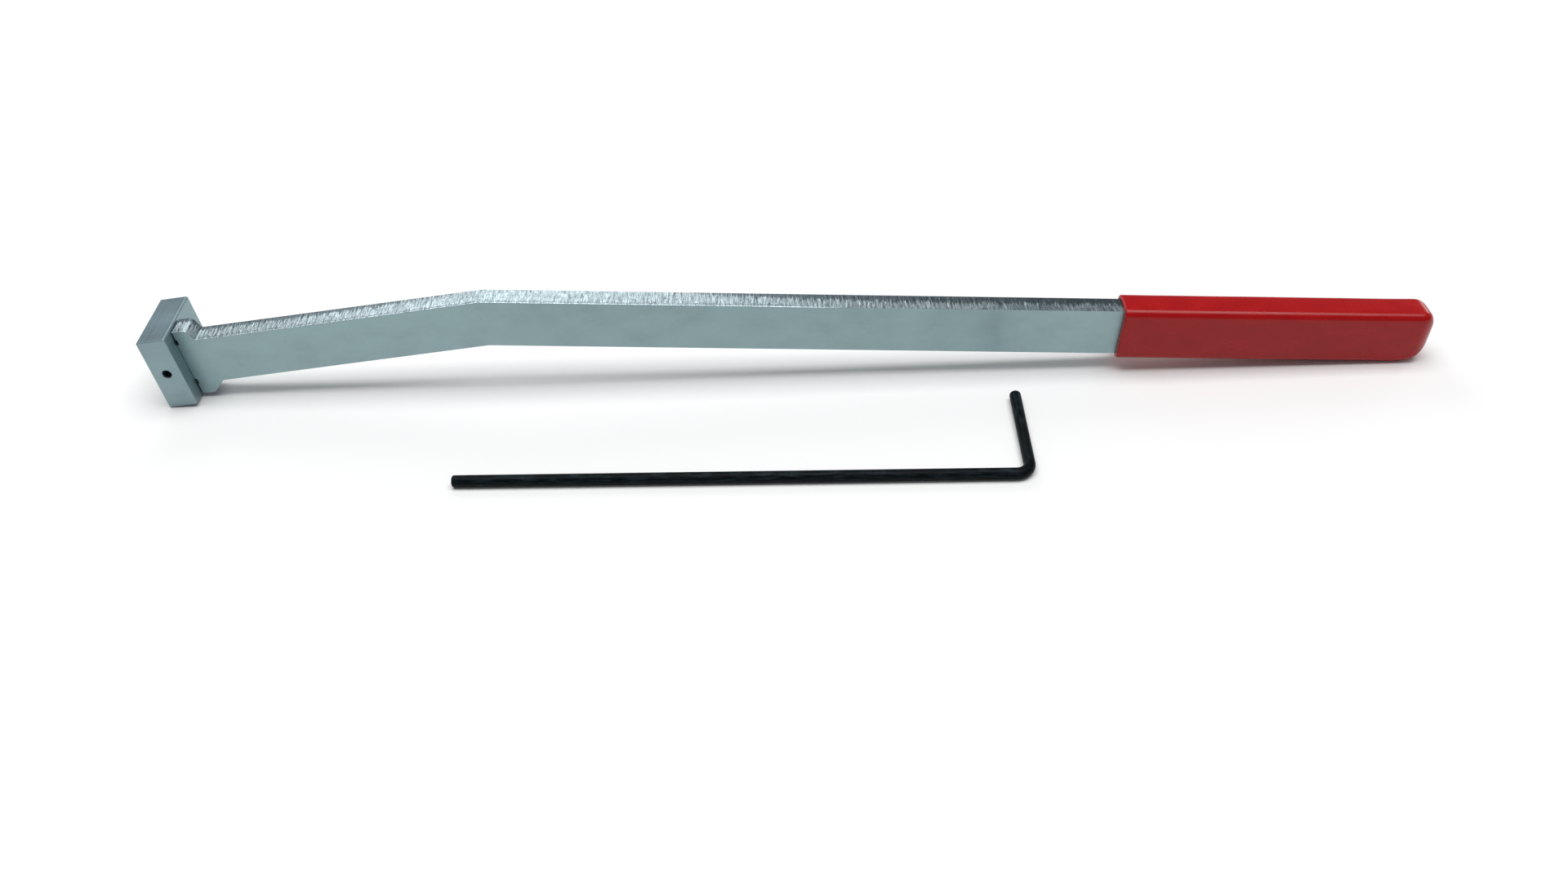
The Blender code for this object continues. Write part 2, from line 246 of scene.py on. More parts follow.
def flat_side_loops(node, y):
    """The closed outlines, as (x, z) points, of a CAD node's flat side at this y."""
    mesh = frame["nodes"][node].data
    steps = set()
    for polygon in mesh.polygons:
        corners = [mesh.vertices[index].co for index in polygon.vertices]
        if all(abs(corner.y - y) < SAME_PLACE for corner in corners):
            keys = [tuple(round(reach, PLACE_DIGITS) for reach in corner.xz) for corner in corners]
            steps.update(zip(keys, keys[1:] + keys[:1]))
    onward = {start: end for start, end in steps if (end, start) not in steps}
    loops = []
    while onward:
        loop = [min(onward)]
        while loop[-1] in onward:
            loop.append(onward.pop(loop[-1]))
        loops.append(loop[:-1])
    return sorted(loops, key=len, reverse=True)


def smooth_noise(x, y, z):
    """Repeatable noise between about -1 and 1 that changes over one unit."""
    return noise.noise(Vector((x, y, z)))


def span(points, direction):
    """The lowest and highest reach of some points along a direction."""
    reaches = [point.dot(direction) for point in points]
    return min(reaches), max(reaches)


# ---------------------------------------------------------------- axes and sizes that the CAD gives
bar_along = longest_edge("lever_bar")
bar_up = Vector((-bar_along.z, 0.0, bar_along.x))
end_face = next(m for m in frame["record"]["mounts"] if m["name"] == "block_end_face")
arm_along = Vector(end_face["axis"]).normalized()
arm_up = Vector((arm_along.z, 0.0, -arm_along.x))
plate_low, plate_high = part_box("lever_bar")
grip_low, grip_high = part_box("handle_grip")

grip_reach = span(cad_points("handle_grip"), bar_up)
bar_reach = span([p for p in cad_points("lever_bar") if p.dot(bar_along) > 0], bar_up)
grip_axis_up = (bar_reach[0] + bar_reach[1]) / 2
grip_half_height = min(grip_reach[1] - grip_axis_up, grip_axis_up - grip_reach[0])
bar_half_height = (bar_reach[1] - bar_reach[0]) / 2


# ---------------------------------------------------------------- lever plate
def cut_edge_section():
    """The cut edge's rows across the plate, mm: (distance from the near face, height, line share).

    A bright raised line and a groove run beside the near face. The rough cut takes the rest.
    """
    thickness = (plate_high.y - plate_low.y) / MM
    first = CUT_BODY_FROM_NEAR
    last = thickness - CUT_BODY_FROM_FAR
    rows = list(NEAR_EDGE_ROWS)
    for index in range(CUT_BODY_ROWS):
        share = index / (CUT_BODY_ROWS - 1)
        crown = CUT_BODY_CROWN * math.sin(math.pi * share)
        height = CUT_BODY_HEIGHT + crown - CUT_BODY_FALL * share ** 3
        rows.append((first + (last - first) * share, height, 1.0))
    rows += [(thickness - back, height, share) for back, height, share in FAR_EDGE_ROWS]
    return rows


def walk_outline(loop):
    """Stations along the plate's outline: (place, outward way, distance along, detail share)."""
    grip_mouth = min(point.dot(bar_along) for point in cad_points("handle_grip"))
    points = [Vector(point) for point in loop]
    count = len(points)
    outward = []
    for index, point in enumerate(points):
        before = (point - points[index - 1]).normalized()
        after = (points[(index + 1) % count] - point).normalized()
        bisector = Vector((before.y + after.y, -before.x - after.x)).normalized()
        squareness = bisector.dot(Vector((before.y, -before.x)))
        outward.append(bisector / max(SHARPEST_CORNER, squareness))
    stations = []
    travelled = 0.0
    for index, point in enumerate(points):
        target = points[(index + 1) % count]
        edge = target - point
        start = Vector((point.x, 0.0, point.y)).dot(bar_along)
        end = Vector((target.x, 0.0, target.y)).dot(bar_along)
        pieces = max(1, round(edge.length / (CUT_EDGE_STEP * MM)))
        for piece in range(pieces):
            share = piece / pieces
            reach = start + (end - start) * share
            hidden = reach > grip_mouth + HIDDEN_PAST_MOUTH * MM
            if hidden and 0 < piece and piece % round(HIDDEN_EDGE_STEP / CUT_EDGE_STEP):
                continue
            place = point + edge * share
            normal = outward[index].lerp(outward[(index + 1) % count], share)
            if 0 < piece and edge.length > SHORT_OUTLINE_SIDE * MM:
                normal = Vector((edge.y, -edge.x)).normalized()
            detail = 0.0 if hidden else 1.0
            stations.append((place, normal, travelled + edge.length * share, detail))
        travelled += edge.length
    return stations


def drag_lines(distance, across):
    """The height of the cut's drag lines, mm, at a distance along and a distance across, mm.

    The last number given to each noise only keeps the patterns apart.
    """
    long_wander, cross_wander = DRAG_WANDER_SIZE
    long_patch, cross_patch = DRAG_PATCH_SIZE
    wander = DRAG_WANDER * smooth_noise(distance / long_wander, across / cross_wander, 7.0)
    height = 0.0
    for layer, (pitch, depth) in enumerate(DRAG_LINES):
        place_along = (distance + wander) / pitch
        height += depth * smooth_noise(place_along, across / DRAG_LINE_LENGTH, 3.0 * layer)
    patch = smooth_noise(distance / long_patch, across / cross_patch, 20.0)
    return height * (DRAG_PATCH_MEAN + DRAG_PATCH_SWING * patch) + DRAG_LINE_REST


def faded_near_line(x, height, share):
    """The near line's height, mm, and line share at this x, mm, where it fades into the cut."""
    fade = min(1.0, max(0.0, (x - NEAR_LINE_FADE_START) / NEAR_LINE_FADE_LENGTH))
    share += (NEAR_LINE_FADED_SHARE - share) * fade
    height += (NEAR_LINE_FADED_HEIGHT - height) * fade
    return height, share


def painted_shade_start_at(x, on_top):
    """Where the cut edge's painted shade begins, mm from the near face: later in one stretch along X.
    """
    if not on_top:
        return PAINTED_SHADE_START_BELOW
    drift = min(1.0, max(0.0, (x - PAINTED_SHADE_DRIFT_FROM) / PAINTED_SHADE_DRIFT_LENGTH))
    late = math.exp(-((x - LATE_PAINTED_SHADE_AT) / LATE_PAINTED_SHADE_REACH) ** 2)
    return PAINTED_SHADE_START_AT_HEAD - PAINTED_SHADE_DRIFT * drift + LATE_PAINTED_SHADE * late


def keep_sides_flat(plate):
    """Sharpens the plate's edges, and keeps its two ground sides, in slot 0, flat."""
    plate.data.set_sharp_from_angle(angle=math.radians(PLATE_SHARP_ANGLE))
    edges = {edge.key: edge for edge in plate.data.edges}
    for polygon in plate.data.polygons:
        if polygon.material_index == 0:
            polygon.use_smooth = False
            for key in polygon.edge_keys:
                edges[key].use_edge_sharp = True


def make_lever_plate():
    """The plate: two flat sides and a rough cut edge around them, with the cross hole through."""
    loops = flat_side_loops("lever_bar", plate_low.y)
    outline, hole = loops[0], loops[1]
    stations = walk_outline(outline)
    mesh_maker = bmesh.new()
    # Each vertex keeps where the cut edge's painted shade begins, mm from the near face.
    painted_shade_start = mesh_maker.verts.layers.float.new("painted_shade_start")
    across_plate = mesh_maker.verts.layers.float.new("across_plate")
    rings = []
    for across, row_height, row_share in cut_edge_section():
        ring = []
        for place, normal, distance, detail in stations:
            height, share = row_height, row_share
            on_top = normal.y > 0
            if across < NEAR_LINE_WIDTH and on_top:
                height, share = faded_near_line(place.x / MM, height, share)
            rough = drag_lines(distance / MM, across) * share * detail
            raised = FACE_INSET + min(CUT_EDGE_PEAK, height + rough)
            spot = place + normal * raised * MM
            vertex = mesh_maker.verts.new((spot.x, plate_low.y + across * MM, spot.y))
            vertex[painted_shade_start] = painted_shade_start_at(place.x / MM, on_top)
            vertex[across_plate] = across
            ring.append(vertex)
        rings.append(ring)
    bridge(mesh_maker, rings, material=1)
    hole_rings = []
    for y in (plate_low.y, plate_high.y):
        hole_rings.append([mesh_maker.verts.new((x, y, z)) for x, z in hole])
    bridge(mesh_maker, hole_rings)
    for side in (0, -1):
        outer, inner = rings[side], hole_rings[side]
        flat = [[Vector((v.co.x, v.co.z, 0.0)) for v in ring] for ring in (outer, inner)]
        vertices = outer + inner
        for triangle in tessellate_polygon(flat):
            face = mesh_maker.faces.new([vertices[index] for index in triangle])
            face.material_index = 0
    bmesh.ops.recalc_face_normals(mesh_maker, faces=mesh_maker.faces)
    plate = object_from("lever_plate", mesh_maker)
    keep_sides_flat(plate)
    plate.data.materials.append(satin_ground_steel("satin_ground_plate", "#96ADB0"))
    plate.data.materials.append(torch_cut_steel())
    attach(plate, "lever")
    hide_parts("lever_bar")


# ---------------------------------------------------------------- head block
def mill_line_depth(run, width, side):
    """The depth of the cutter's lines, mm, at a run across a milled face this wide, mm."""
    broad_rate, broad_share = BROAD_MILL_LINES
    fine_rate, fine_share = FINE_MILL_LINES
    groove = 0.5 + broad_share * smooth_noise(run / MILL_LINE_PITCH * broad_rate, 5.0 * side, 0.0)
    groove += fine_share * smooth_noise(run / MILL_LINE_PITCH * fine_rate, 9.0, side)
    fade = min(1.0, run / MILL_LINE_FADE, (width - run) / MILL_LINE_FADE)
    return MILL_LINE_DEPTH * min(1.0, max(0.0, groove)) * fade


def block_section(along_span, up_span):
    """The block's outline, mm: (along, up, inward along, inward up), with the cutter lines."""
    low, high = along_span[0] / MM, along_span[1] / MM
    bottom, top = up_span[0] / MM, up_span[1] / MM
    radius = BLOCK_CORNER_RADIUS
    width = high - low - 2 * radius
    section = []
    for quarter, (along, up) in enumerate(((1, 1), (-1, 1), (-1, -1), (1, -1))):
        centre_along = (high - radius) if along > 0 else (low + radius)
        centre_up = (top - radius) if up > 0 else (bottom + radius)
        for step in range(BLOCK_CORNER_STEPS + 1):
            angle = math.pi / 2 * (quarter + step / BLOCK_CORNER_STEPS)
            way = Vector((math.cos(angle), math.sin(angle)))
            spot = (centre_along + radius * way.x, centre_up + radius * way.y)
            section.append((*spot, -way.x, -way.y))
        if quarter in (0, 2):
            side = 1 if quarter == 0 else -1
            for step in range(1, MILL_LINE_STEPS):
                run = width * step / MILL_LINE_STEPS
                at = (high - radius - run) if side > 0 else (low + radius + run)
                level = (top if side > 0 else bottom) - side * mill_line_depth(run, width, side)
                section.append((at, level, 0.0, -float(side)))
    return section


def make_head_block():
    """The block: ground sides, end-milled top and bottom in a darker tone that is painted shade,
    rounded edges, mortise and cross hole.
    """
    points = cad_points("head_block")
    along_span, up_span = span(points, arm_along), span(points, arm_up)
    near, far = span(points, Vector((0.0, 1.0, 0.0)))
    section = block_section(along_span, up_span)
    mesh_maker = bmesh.new()
    rings = []
    ends = []
    for step in range(BLOCK_EDGE_STEPS + 1):
        angle = math.pi / 2 * step / BLOCK_EDGE_STEPS
        inset = BLOCK_EDGE_RADIUS * (1 - math.sin(angle))
        back = BLOCK_EDGE_RADIUS * (1 - math.cos(angle))
        ends.append((back * MM, inset * MM))
    rows = [(near + back, inset) for back, inset in ends]
    rows += [(far - back, inset) for back, inset in reversed(ends)]
    for y, inset in rows:
        ring = []
        for along, up, in_along, in_up in section:
            spot = arm_along * (along * MM + in_along * inset)
            spot += arm_up * (up * MM + in_up * inset)
            ring.append(mesh_maker.verts.new((spot.x, y, spot.z)))
        rings.append(ring)
    bridge(mesh_maker, rings)
    close_ends(mesh_maker, rings)
    block = object_from("milled_head_block", mesh_maker)
    cut_mortise_and_hole(block, near, far, along_span)
    block.data.set_sharp_from_angle(angle=math.radians(BLOCK_SHARP_ANGLE))
    block.data.materials.clear()
    block.data.materials.append(satin_ground_steel("satin_ground_block", "#8FA4A9"))
    # The milled top and bottom take a darker tone of the same steel, which is painted shade; their
    # cutter lines are real and are modelled in the geometry.
    block.data.materials.append(satin_ground_steel("end_milled_steel_painted_shade", "#82959D"))
    for polygon in block.data.polygons:
        milled_with_painted_shade = abs(polygon.normal.dot(arm_up)) > MILLED_FACE_SHARE
        polygon.material_index = 1 if milled_with_painted_shade else 0
    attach(block, "lever")
    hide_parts("head_block")


def cutter_box(name, along_span, up_span, near, far):
    """A box in the arm's axes that takes material away."""
    mesh_maker = bmesh.new()
    bmesh.ops.create_cube(mesh_maker, size=1.0)
    for vertex in mesh_maker.verts:
        along = along_span[0] if vertex.co.x < 0 else along_span[1]
        up = up_span[0] if vertex.co.z < 0 else up_span[1]
        spot = arm_along * along + arm_up * up
        vertex.co = Vector((spot.x, near if vertex.co.y < 0 else far, spot.z))
    bmesh.ops.recalc_face_normals(mesh_maker, faces=mesh_maker.faces)
    return object_from(name, mesh_maker)


def cutter_bore(name, centre, rows):
    """A turned shape along Y that takes material away; rows are (y, radius)."""
    mesh_maker = bmesh.new()
    rings = []
    for y, radius in rows:
        ring = []
        for side in range(CROSS_HOLE_SIDES):
            angle = 2 * math.pi * side / CROSS_HOLE_SIDES
            spot = centre + Vector((math.cos(angle), 0.0, math.sin(angle))) * radius
            ring.append(mesh_maker.verts.new((spot.x, y, spot.z)))
        rings.append(ring)
    bridge(mesh_maker, rings)
    close_ends(mesh_maker, rings)
    return object_from(name, mesh_maker)


def cut_mortise_and_hole(block, near, far, along_span):
    """Cuts the mortise around the tenon and the countersunk cross hole around the pin."""
    shoulder = along_span[0] + TENON_PAST_SHOULDER * MM
    tenon = [p for p in cad_points("lever_bar") if p.dot(arm_along) > shoulder]
    tenon_low, tenon_high = span(tenon, arm_up)
    clearance = MORTISE_CLEARANCE * MM
    through = (along_span[0] - CUTTER_OVERRUN * MM, along_span[1] + CUTTER_OVERRUN * MM)
    up_span = (tenon_low - clearance, tenon_high + clearance)
    plate = (plate_low.y - clearance, plate_high.y + clearance)
    pin_low, pin_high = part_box("cross_pin")
    centre = (pin_low + pin_high) / 2
    radius = CROSS_HOLE_RADIUS * MM
    rim = CROSS_HOLE_RIM * MM
    rows = [(near - rim, radius + 2 * rim), (near + rim, radius)]
    rows += [(far - rim, radius), (far + rim, radius + 2 * rim)]
    cutters = [
        cutter_box("mortise_cutter", through, up_span, *plate),
        cutter_bore("cross_hole_cutter", centre, rows),
    ]
    for cutter in cutters:
        boolean = block.modifiers.new(cutter.name, "BOOLEAN")
        boolean.operation = "DIFFERENCE"
        boolean.solver = "EXACT"
        boolean.object = cutter
    apply_modifiers(block)
    for cutter in cutters:
        bpy.data.objects.remove(cutter, do_unlink=True)


def apply_modifiers(piece):
    """Replaces a piece's mesh with its evaluated one."""
    graph = bpy.context.evaluated_depsgraph_get()
    graph.update()
    mesh = bpy.data.meshes.new_from_object(piece.evaluated_get(graph))
    piece.modifiers.clear()
    piece.data = mesh


# ---------------------------------------------------------------- dipped grip
def dome(distance_from_tip, length, roundness):
    """The share of full size that the domed end keeps at this distance from its tip."""
    share = min(1.0, max(0.0, 1 - distance_from_tip / length))
    return max(0.0, 1 - share ** roundness) ** (1 / roundness)


def grip_ring(mesh_maker, x, half_width, upper, lower, radius, wave=0.0, crown_depth=0.0):
    """One section of the grip: a rounded rectangle with crowned flats, slightly uneven."""
    middle_y = (grip_low.y + grip_high.y) / 2
    radius = min(radius, GRIP_ROUNDEST * half_width)
    outline = []
    for quarter, (side, reach) in enumerate(((1, upper), (-1, upper), (-1, -lower), (1, -lower))):
        centre_y = side * (half_width - radius)
        centre_up = reach - math.copysign(radius, reach)
        for step in range(GRIP_SIDES_PER_CORNER):
            angle = math.pi / 2 * (quarter + step / (GRIP_SIDES_PER_CORNER - 1))
            corner = (centre_y + radius * math.cos(angle), centre_up + radius * math.sin(angle))
            outline.append(corner)
        if quarter in (0, 2):
            for step in range(1, GRIP_FLAT_STEPS):
                outline.append((centre_y * (1 - 2 * step / GRIP_FLAT_STEPS), reach))
    wave_x, wave_y, wave_up = GRIP_WAVE_SIZE
    ring = []
    for y, up in outline:
        dent = wave * (smooth_noise(x / MM / wave_x, y / MM / wave_y, up / MM / wave_up) - 0.5)
        inward = Vector((y, up)).normalized() * dent
        crown = crown_depth * (y / half_width) ** 2
        up -= math.copysign(crown, up)
        spot = bar_along * x + bar_up * (grip_axis_up + up + inward.y)
        ring.append(mesh_maker.verts.new((spot.x, middle_y + y + inward.x, spot.z)))
    return ring


def grip_sections():
    """Sections from the bore's end out over the lip to the tip.

    Each is (x, half width, reach up, reach down, corner radius, wave, crown), in metres, and the
    last two may be left out where the skin is plain.
    """
    mouth, tip = span(cad_points("handle_grip"), bar_along)
    half_width = (grip_high.y - grip_low.y) / 2
    half_up = grip_half_height
    plate_half = (plate_high.y - plate_low.y) / 2 + GRIP_BORE_CLEARANCE * MM
    bar_half = bar_half_height + GRIP_BORE_CLEARANCE * MM
    bore_end = span(cad_points("lever_bar"), bar_along)[1] + GRIP_BORE_PAST_BAR * MM
    small = GRIP_BORE_CORNER * MM
    edge = GRIP_EDGE_RADIUS * MM
    lip = GRIP_LIP_RADIUS * MM
    sections = []
    for back, up, down in GRIP_BORE_ROWS:
        sections.append((bore_end - back * MM, plate_half, up * bar_half, down * bar_half, small))
    sections.append((mouth + GRIP_BORE_FLARE * MM, plate_half, bar_half, bar_half, small))
    sections.append((mouth, plate_half + small, bar_half + small, bar_half + small, small))
    for step in range(GRIP_LIP_STEPS + 1):
        angle = math.pi / 2 * step / GRIP_LIP_STEPS
        x = mouth + lip * (1 - math.cos(angle))
        inset = lip * (1 - math.sin(angle))
        radius = max(small, edge - inset)
        crown = GRIP_CROWN * MM * step / GRIP_LIP_STEPS
        reach = half_up - inset
        sections.append((x, half_width - inset, reach, reach, radius, 0.0, crown))
    first = mouth + lip
    dome_start = tip - GRIP_LOWER_DOME * MM
    for step in range(1, GRIP_BODY_STEPS):
        share = step / GRIP_BODY_STEPS
        x = first + (dome_start - first) * share
        wave = GRIP_WAVE_HEIGHT * MM * min(1.0, share * GRIP_WAVE_ENDS, (1 - share) * GRIP_WAVE_ENDS)
        sections.append((x, half_width, half_up, half_up, edge, wave, GRIP_CROWN * MM))
    for step in range(GRIP_DOME_STEPS):
        share = math.sin(math.pi / 2 * step / GRIP_DOME_STEPS)
        left = GRIP_LOWER_DOME * MM * (1 - share)
        sections.append((
            tip - left,
            half_width * dome(left, GRIP_PLAN_DOME * MM, GRIP_PLAN_ROUNDNESS),
            half_up * dome(left, GRIP_UPPER_DOME * MM, GRIP_SIDE_ROUNDNESS),
            half_up * dome(left, GRIP_LOWER_DOME * MM, GRIP_SIDE_ROUNDNESS),
            edge,
            0.0,
            GRIP_CROWN * MM * (1 - share),
        ))
    return sections


def make_dipped_grip():
    """The vinyl sleeve: bore, rolled lip, long body and domed end in one skin."""
    mesh_maker = bmesh.new()
    rings = [grip_ring(mesh_maker, *section) for section in grip_sections()]
    bridge(mesh_maker, rings)
    for ring in (rings[0][::-1], rings[-1]):
        face = mesh_maker.faces.new(ring)
        face.smooth = True
    bmesh.ops.remove_doubles(mesh_maker, verts=mesh_maker.verts, dist=SAME_PLACE)
    bmesh.ops.recalc_face_normals(mesh_maker, faces=mesh_maker.faces)
    grip = object_from("dipped_grip", mesh_maker)
    grip.data.materials.append(dipped_vinyl())
    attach(grip, "lever")
    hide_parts("handle_grip")


# ---------------------------------------------------------------- locking pin
def rod_path(start, elbow, base, tip, radius):
    """Stations on the rod's middle line: (along, aside, turn, radius), with rounded cut ends."""
    bend = ROD_BEND_RADIUS * MM
    end = ROD_END_RADIUS * MM
    long_axis = base + radius
    short_axis = elbow - radius
    bend_start = short_axis - bend
    quarter_turn = math.pi / 2
    rounded_end = []
    for step in range(ROD_END_STEPS + 1):
        angle = quarter_turn * step / ROD_END_STEPS
        rounded_end.append((end * (1 - math.cos(angle)), radius - end * (1 - math.sin(angle))))
    path = [(start + back, long_axis, 0.0, size) for back, size in rounded_end]
    for step in range(1, ROD_LONG_STEPS):
        x = start + end + (bend_start - start - end) * step / ROD_LONG_STEPS
        path.append((x, long_axis, 0.0, radius))
    for step in range(ROD_BEND_STEPS + 1):
        turn = quarter_turn * step / ROD_BEND_STEPS
        x = bend_start + bend * math.sin(turn)
        y = long_axis + bend * (1 - math.cos(turn))
        path.append((x, y, turn, radius))
    for step in range(1, ROD_SHORT_STEPS):
        y = long_axis + bend + (tip - end - long_axis - bend) * step / ROD_SHORT_STEPS
        path.append((short_axis, y, quarter_turn, radius))
    path += [(short_axis, tip - back, quarter_turn, size) for back, size in reversed(rounded_end)]
    return path


def make_bent_rod():
    """The L-shaped rod, with rounded cut ends and a round bend."""
    points = cad_points("locking_pin")
    along = longest_edge("locking_pin")
    aside = Vector((-along.y, along.x, 0.0))
    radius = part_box("locking_pin")[1].z / 2
    path = rod_path(*span(points, along), *span(points, aside), radius)
    mesh_maker = bmesh.new()
    length_along = mesh_maker.verts.layers.float.new("length_along")
    turn_around = mesh_maker.verts.layers.float.new("turn_around")
    rings = []
    travelled = 0.0
    before = None
    for x, y, turn, size in path:
        centre = along * x + aside * y + Vector((0.0, 0.0, radius))
        across = along * -math.sin(turn) + aside * math.cos(turn)
        travelled += 0.0 if before is None else (centre - before).length
        before = centre
        ring = []
        for side in range(ROD_SIDES):
            angle = 2 * math.pi * side / ROD_SIDES
            offset = across * math.cos(angle) + Vector((0.0, 0.0, math.sin(angle)))
            vertex = mesh_maker.verts.new(centre + offset * size)
            vertex[length_along] = travelled / MM
            vertex[turn_around] = math.sin(angle)
            ring.append(vertex)
        rings.append(ring)
    bridge(mesh_maker, rings)
    close_ends(mesh_maker, rings)
    rod = object_from("bent_locking_rod", mesh_maker)
    rod.data.set_sharp_from_angle(angle=math.radians(ROD_SHARP_ANGLE))
    rod.data.materials.append(black_oxide_steel())
    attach(rod, "loose_pin")
    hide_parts("locking_pin")


# ---------------------------------------------------------------- materials
def linear(hex_colour):
    """An sRGB hex colour as linear RGBA."""
    channels = [int(hex_colour[place:place + 2], 16) / 255 for place in (1, 3, 5)]
    lit = [c / 12.92 if c <= 0.04045 else ((c + 0.055) / 1.055) ** 2.4 for c in channels]
    return (*lit, 1.0)


def add_node(tree, kind, settings=None, links=None):
    """Adds a node, sets its settings and inputs, and links outputs into its inputs."""
    node = tree.nodes.new(kind)
    for name, value in (settings or {}).items():
        if isinstance(name, int) or name in node.inputs:
            node.inputs[name].default_value = value
        else:
            setattr(node, name, value)
    for name, output in (links or {}).items():
        tree.links.new(output, node.inputs[name])
    return node


def shade_of(colour, share):
    """A linear colour made darker or lighter, at full opacity."""
    return (*(share * channel for channel in colour[:3]), 1.0)


def new_material(name, **settings):
    """A material whose shader has these settings, with its tree and shader."""
    material = bpy.data.materials.new(name)
    material.use_nodes = True
    tree = material.node_tree
    shader = tree.nodes["Principled BSDF"]
    for setting, value in settings.items():
        shader.inputs[setting].default_value = value
    return material, tree, shader


def position_mm(tree, stretch):
    """The surface position, divided by a pattern's size in mm along each axis."""
    place = add_node(tree, "ShaderNodeTexCoord")
    scale = tuple(1 / (MM * size) for size in stretch)
    scaled = add_node(tree, "ShaderNodeMapping", {"Scale": scale}, {"Vector": place.outputs["Object"]})
    return scaled.outputs["Vector"]


def satin_ground_steel(name, tone):
    """Flat steel, ground and then tumbled: an even satin grey with faint clouds, specks and smudges.

    The scratches of the real grit, about 0.1 mm apart, are drawn 0.9 mm apart so that they show.
    """
    cloud_size = (14, 14, 9)
    grit_size = (0.9, 0.9, 0.45)
    speck_size = (1.1, 1.1, 0.8)
    base = linear(tone)
    dark_cloud, light_cloud, speck = (shade_of(base, share) for share in (0.87, 1.09, 0.4))
    material, tree, shader = new_material(name, Metallic=1.0)
    clouds = add_node(tree, "ShaderNodeTexNoise", {"Scale": 1.0, "Detail": 4.0, "Roughness": 0.6},
                      {"Vector": position_mm(tree, cloud_size)})
    grit = add_node(tree, "ShaderNodeTexNoise", {"Scale": 1.0, "Detail": 3.0, "Roughness": 0.7},
                    {"Vector": position_mm(tree, grit_size)})
    specks = add_node(tree, "ShaderNodeTexNoise", {"Scale": 1.0, "Detail": 2.0},
                      {"Vector": position_mm(tree, speck_size)})
    shade = add_node(tree, "ShaderNodeMapRange", {"From Min": NOISE_LOW, "From Max": NOISE_HIGH},
                     {"Value": clouds.outputs["Fac"]})
    tint = add_node(tree, "ShaderNodeMix",
                    {"data_type": "RGBA", MIX_A: dark_cloud, MIX_B: light_cloud},
                    {"Factor": shade.outputs["Result"]})
    spots = add_node(tree, "ShaderNodeMapRange", {"From Min": 0.70, "From Max": 0.80, "To Max": 0.45},
                     {"Value": specks.outputs["Fac"]})
    spotted = add_node(tree, "ShaderNodeMix", {"data_type": "RGBA", MIX_B: speck},
                       {"Factor": spots.outputs["Result"], MIX_A: tint.outputs[MIX_RESULT]})
    tree.links.new(spotted.outputs[MIX_RESULT], shader.inputs["Base Color"])
    matte = add_node(tree, "ShaderNodeMapRange",
                     {"From Min": NOISE_LOW, "From Max": NOISE_HIGH, "To Min": 0.42, "To Max": 0.54},
                     {"Value": clouds.outputs["Fac"]})
    tree.links.new(matte.outputs["Result"], shader.inputs["Roughness"])
    bump = add_node(tree, "ShaderNodeBump", {"Strength": 0.25, "Distance": 0.04 * MM},
                    {"Height": grit.outputs["Fac"]})
    tree.links.new(bump.outputs["Normal"], shader.inputs["Normal"])
    return material


